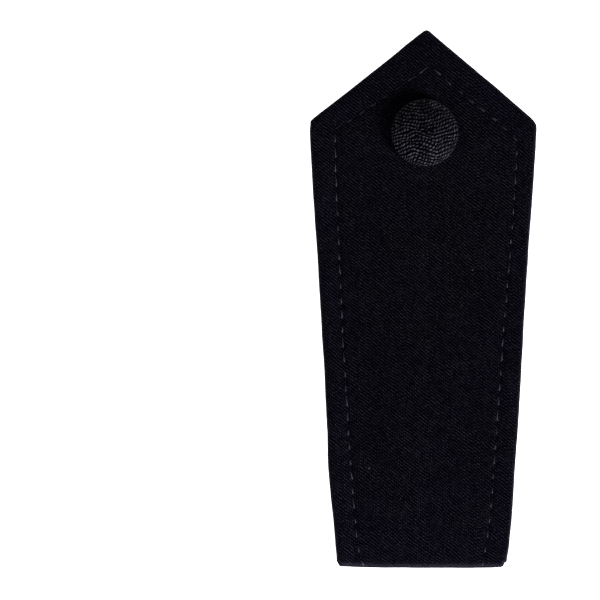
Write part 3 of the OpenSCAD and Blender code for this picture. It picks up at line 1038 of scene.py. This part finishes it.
def twill_material():
    n = Nodes("twill")
    cloth = n.vector("cloth")
    x, y, _ = n.split(cloth)
    drift_x = n.wobble(cloth, 0.11, 0.5, 1.5)
    drift_y = n.wobble(cloth, 0.14, 0.6, 1.3)
    tremble = n.wobble(cloth, 1.6, 0.7, 0.38)
    u = n.math("DIVIDE", n.plus(n.plus(x, drift_x), tremble), WARP_PITCH)
    v = n.math("DIVIDE", n.minus(n.plus(y, drift_y), tremble), PICK_PITCH)

    # The weave's height at a place on its warp yarn and in the period of that yarn.
    warp, in_yarn = n.math("FLOOR", u), n.math("FRACT", u)
    yarn = n.own(n.plus(warp, YARN_NUMBER_SHIFT))
    v = n.plus(v, n.times(yarn, YARN_SHIFT))
    line = n.plus(v, n.times(n.plus(warp, n.times(in_yarn, 0.5)), PERIOD * LINE_STEP))
    t = n.math("FLOORED_MODULO", line, PERIOD)
    over = n.math("GREATER_THAN", t, 1.0)
    across = n.math("SINE", n.times(in_yarn, math.pi))
    yarn_share = n.span(y, *YARN_SHARE_Y, *YARN_SHARE)
    arch = n.math("SINE", n.times(n.minus(t, 1.0), math.pi / 2))
    warp_h = n.times(n.math("POWER", n.math("MAXIMUM", arch, 0.0), 1.1),
                     n.plus(n.times(across, yarn_share), n.minus(1.0, yarn_share)))
    weft_h = n.times(n.math("SINE", n.times(n.math("MINIMUM", t, 1.0), math.pi)),
                     n.plus(n.times(across, 0.15), 0.10))
    height = n.plus(n.times(warp_h, over), n.times(weft_h, n.minus(1.0, over)))

    # Brightness: the nap hides the gaps where it is thicker. Each yarn, crossing and float (the
    # stretch in which a warp yarn lies over two picks) has its own, and fibres lie across them.
    fibre = n.noise(cloth, 9.0, 4.0, 0.65)
    blotch = n.noise(cloth, 0.16, 3.0, 0.6)
    crossing = n.own_of_two(warp, n.math("FLOOR", v))
    float_own = n.own_of_two(warp, n.math("FLOOR", n.math("DIVIDE", line, PERIOD)))
    nap = n.span(n.noise(n.added(cloth, NAP_SHIFT), 0.42, 3.0, 0.6), 0.50, 0.74, 0.0, 0.44)
    # Brightness follows the weave's height, so the gaps between the yarns are painted shade.
    lit = n.times(n.math("POWER", n.math("MAXIMUM", height, 0.0), 1.6), 1.23)
    lit = n.veiled(lit, nap, 0.48)
    lit = n.times(lit, n.span(yarn, 0, 1, 0.9, 1.1), n.span(crossing, 0, 1, 0.46, 1.54),
                  n.span(float_own, 0, 1, 0.74, 1.26), n.vary(fibre, 0.62, 1.38),
                  n.vary(blotch, 0.90, 1.10), n.span(yarn_share, *YARN_SHARE, *YARN_SHARE_LIT),
                  n.span(y, 32.0, -2.0, 1.16, 1.03))

    # It is darker in the seam, as painted shade in its groove, and lighter in the border, most of all
    # on the left side, as painted light.
    seam = n.value("seam")
    border = n.span(seam, -1.2, -0.2, 1.0, 0.0)
    painted_border_light = n.times(n.span(x, -12.0, 12.0, 0.17, 0.02), n.span(y, 38.0, 46.0, 1.0, 0.1))
    lit = n.times(lit, n.span(n.math("ABSOLUTE", seam), 0.25, 1.1, 0.88, 1.0),
                  n.plus(1.0, n.times(border, painted_border_light)))

    patch = n.noise(n.added(cloth, PATCH_SHIFT), 0.07)
    hue = n.mix(n.span(patch, 0.36, 0.62, 0.0, 1.0), TWILL_PLAIN, TWILL_BLUISH)
    hue = n.mix(n.span(blotch, 0.55, 0.72, 0.0, 0.55), hue, TWILL_DULL)
    hue = n.mix(n.times(border, 0.6), hue, TWILL_BORDER)
    # Towards the square end the haze grows, as painted light on the cloth near the fold.
    haze = n.mix(n.span(y, -38.0, -58.0, 0.0, 1.0), TWILL_HAZE, TWILL_END_HAZE_AND_LIGHT)
    color = n.added(n.scaled(hue, lit), haze)
    specks = n.add("TexVoronoi", {"Vector": cloth, "Scale": SPECK_SCALE, "Randomness": 1.0},
                   feature="F1")
    speck = n.times(n.math("LESS_THAN", specks.outputs["Distance"], SPECK_R),
                    n.math("GREATER_THAN", n.split(specks.outputs["Color"])[0], SPECKLESS))
    color = n.mix(n.times(speck, 0.7), color, SPECK_COLOR)
    # Painted sheen: the colour is lightened where the cloth turns away from the view, standing in for
    # the light that fibre ends catch there.
    facing = n.add("LayerWeight", {"Blend": 0.5}).outputs["Facing"]
    painted_sheen = n.times(n.math("POWER", facing, 1.35),
                      n.span(n.noise(cloth, 1.1, 3.0, 0.7), 0.32, 0.68, 0.5, 1.5))
    color = n.added(color, n.scaled(PAINTED_SHEEN_COLOR, painted_sheen))
    shader = n.shade(color, n.vary(fibre, 0.74, 0.96), Specular_IOR_Level=0.006, Sheen_Weight=0.003,
                     Sheen_Roughness=0.3, Sheen_Tint=(0.75, 0.70, 1.0, 1.0))
    n.bump(shader, n.plus(height, n.times(fibre, 0.35)), 0.000018, 1.0)
    return n.material


def thread_material():
    n = Nodes("thread")
    along, round_ply, number = n.split(n.vector("strand"))
    slanted = n.plus(n.times(round_ply, 9.0), n.times(along, 2.2))
    fibre = n.noise(n.join(n.times(along, 1.6), slanted, number), 2.4, 3.0, 0.6)
    own = n.own(n.math("FLOOR", number))
    lit = n.times(n.vary(fibre, 0.6, 1.4), n.span(own, 0, 1, 0.9, 1.1), n.value("glow"))
    shader = n.shade(n.scaled(THREAD_COLOR, lit), n.vary(fibre, 0.5, 0.7), Specular_IOR_Level=0.15,
                     Sheen_Weight=0.05, Sheen_Roughness=0.4)
    n.bump(shader, fibre, 0.00003, 0.8)
    return n.material


def button_material():
    n = Nodes("rope_weave")
    strand = n.vector("strand")
    x, y, own = n.split(strand)
    slanted = n.times(n.plus(x, n.times(y, 0.5)), 2.0)
    fibre = n.noise(n.join(slanted, n.times(y, 6.0), own), 2.6, 4.0, 0.62)
    blotch = n.noise(strand, 0.5, 3.0, 0.6)
    # Brightness follows the weave's relief, so the gaps between the rope segments are painted shade.
    lit = n.times(n.math("POWER", n.span(n.value("relief"), 0.17, 0.92, 0.0, 1.0), 1.15), 3.6)
    # Darker round a place near the middle of the crown.
    crown_dx, crown_dy = (n.math("POWER", n.minus(a, at), 2.0) for a, at in zip((x, y), CROWN_DARK_AT))
    from_crown_dark = n.math("SQRT", n.plus(crown_dx, crown_dy))
    lit = n.times(lit, n.span(from_crown_dark, 2.0, 7.0, 0.64, 1.0))
    # The nap hides the gaps in places, and more towards the tip of the board, as painted shade on the
    # button's upper side, which faces away from the lights.
    nap = n.plus(n.span(n.noise(n.join(x, y, 3.7), 0.5, 3.0, 0.6), 0.48, 0.75, 0.0, 0.28),
                 n.span(y, 1.5, 8.0, 0.0, 0.24))
    lit = n.times(n.veiled(lit, nap, 0.6), n.span(own, 0, 1, 0.42, 1.58), n.vary(fibre, 0.62, 1.38),
                  n.vary(blotch, 0.8, 1.2))
    color = n.added(n.scaled(ROPE_COLOR, lit), ROPE_HAZE)
    shader = n.shade(color, n.vary(fibre, 0.5, 0.75), Specular_IOR_Level=0.02, Sheen_Weight=0.002,
                     Sheen_Roughness=0.4, Sheen_Tint=(0.85, 0.83, 1.0, 1.0))
    n.bump(shader, fibre, 0.00004, 0.9)
    return n.material


def plastic_material():
    n = Nodes("dull_plastic")
    place = n.add("TexCoord").outputs["Object"]
    grain = n.noise(place, 2600.0, 3.0, 0.6)
    lit = n.times(n.vary(grain, 0.88, 1.12), n.vary(n.noise(place, 180.0), 0.9, 1.1))
    shader = n.shade(n.scaled(MOULD_COLOR, lit), n.vary(grain, 0.5, 0.64), Specular_IOR_Level=0.4)
    n.bump(shader, grain, 0.00002, 0.6)
    return n.material


def metal_material():
    n = Nodes("dull_metal")
    place = n.add("TexCoord").outputs["Object"]
    x, y, z = n.split(place)
    dx, dy = n.minus(x, BUTTON_AT[0] * MM), n.minus(y, BUTTON_AT[1] * MM)
    radius = n.math("SQRT", n.plus(n.times(dx, dx), n.times(dy, dy)))
    turned = n.noise(n.join(n.times(radius, 9000.0), n.times(z, 4000.0)), 1.0, 3.0, 0.6)
    stain = n.noise(place, 320.0, 3.0, 0.6)
    lit = n.times(n.vary(turned, 0.86, 1.1), n.vary(stain, 0.78, 1.08))
    shader = n.shade(n.scaled(METAL_COLOR, lit), n.vary(stain, 0.5, 0.34), Metallic=1.0)
    n.bump(shader, turned, 0.00001, 0.5)
    return n.material


# The pieces.

cover = cover_mesh().make("cover_cloth", twill_material())
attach(cover, "root")
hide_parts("cover")

thread = thread_material()
top_stitches = stitches("stitches_top", False, thread)
under_stitches = stitches("stitches_under", True, thread)
for piece in (top_stitches, under_stitches):
    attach(piece, "root")

button_cloth = button_mesh().make("button_cloth", button_material())
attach(button_cloth, "root")
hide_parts("button_cover")

for node, material in (("button_mould", plastic_material()), ("button_post", metal_material())):
    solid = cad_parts[node]
    solid.data.materials.clear()
    solid.data.materials.append(material)


# Floor, light and camera, in metres.

FLOOR_HALF, FLOOR_Z, FLOOR_GLOW = 1.5, -0.00001, 1.6
WORLD_GLOW = 0.06
# Each light's name, direction, distance, size and energy.
LIGHTS = [
    ("key", (0.80, -0.60, 0.60), 1.2, 0.38, 11.0),
    ("front", (0.05, -1.0, 0.22), 1.2, 0.35, 5.6),
    ("fill", (-1.0, -0.15, 0.9), 1.3, 0.8, 1.1),
]


def floor_plane():
    mesh = bpy.data.meshes.new("floor")
    corners = [(a * FLOOR_HALF, b * FLOOR_HALF, FLOOR_Z)
               for a, b in ((-1, -1), (1, -1), (1, 1), (-1, 1))]
    mesh.from_pydata(corners, [], [(0, 1, 2, 3)])
    n = Nodes("white_floor")
    tone = n.vary(n.noise(n.add("TexCoord").outputs["Object"], 9.0), 0.86, 0.88)
    n.shade(n.join(tone, tone, tone), 0.9, Specular_IOR_Level=0.1, Emission_Color=(1, 1, 1, 1),
            Emission_Strength=FLOOR_GLOW)
    mesh.materials.append(n.material)
    placed("floor", mesh)


def soft_light(name, direction, distance, size, energy):
    light = bpy.data.lights.new(name, "AREA")
    light.shape, light.size, light.energy = "SQUARE", size, energy
    lamp = placed(name, light)
    toward = Vector(direction).normalized()
    lamp.location = toward * distance
    lamp.rotation_euler = toward.to_track_quat("Z", "Y").to_euler()


floor_plane()
for settings in LIGHTS:
    soft_light(*settings)

world = bpy.data.worlds.new("studio")
world.use_nodes = True
world.node_tree.nodes["Background"].inputs[0].default_value = (1, 1, 1, 1)
world.node_tree.nodes["Background"].inputs[1].default_value = WORLD_GLOW
bpy.context.scene.world = world
bpy.context.scene.view_settings.view_transform = "Standard"

camera_data = bpy.data.cameras.new("camera")
camera_data.lens, camera_data.sensor_width = CAMERA_LENS, CAMERA_SENSOR
camera = placed("camera", camera_data)
frame_width = IMAGE_PX * PHOTO_MM_PER_PX
camera_height = SCALE_PLANE + frame_width / 2 * (2 * CAMERA_LENS / CAMERA_SENSOR)
camera.location = (IMAGE_CENTRE[0] * MM, IMAGE_CENTRE[1] * MM, camera_height * MM)
camera.rotation_euler = (0, 0, CAMERA_ROLL)
bpy.context.scene.camera = camera
